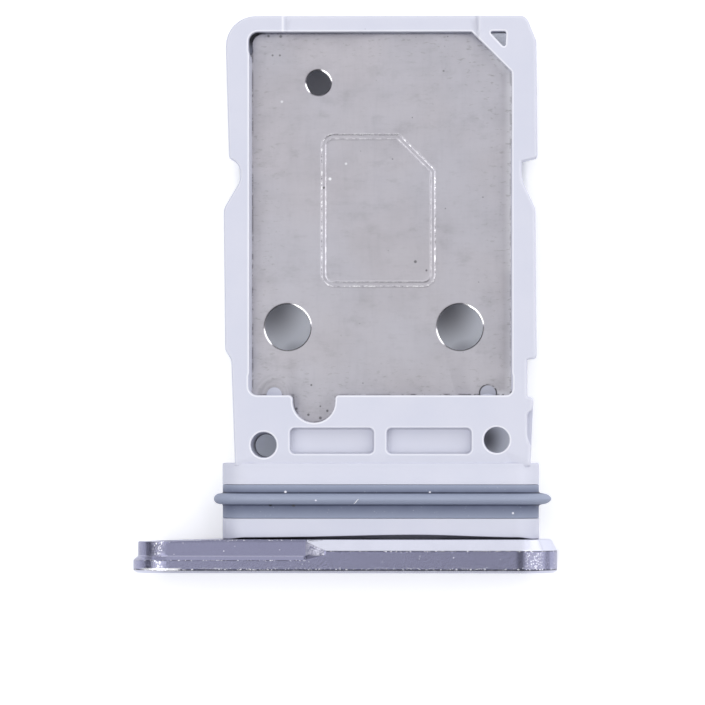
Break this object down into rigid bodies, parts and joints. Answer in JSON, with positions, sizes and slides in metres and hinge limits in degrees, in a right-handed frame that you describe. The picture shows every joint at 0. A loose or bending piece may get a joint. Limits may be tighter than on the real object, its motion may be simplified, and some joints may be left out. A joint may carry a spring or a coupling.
{
  "type": "sim card tray",
  "caption": "Flat card tray with a metal end cap, a stamped steel floor between an upper and a lower card pocket, a moulded frame and a lipped seal round its plug.",
  "frame": {"origin": "on the outer face of the end cap, halfway up its height, near the middle of its length", "axes": "+Y from the cap towards the tip that goes into the slot first, +X along the cap away from the pin hole, +Z out of the upper card pocket"},
  "size_m": [0.0145, 0.0191, 0.0026],
  "materials": {
    "anodised_cap": "bead blasted and anodised violet grey",
    "white_moulding": "fine moulded satin",
    "stamped_steel": "stamped, lightly marked",
    "grey_silicone": "matt"
  },
  "bodies": {
    "root": {"end_cap": "anodised_cap", "tray_frame": "white_moulding", "floor_plate": "stamped_steel", "seal": "grey_silicone"}
  },
  "joints": []
}
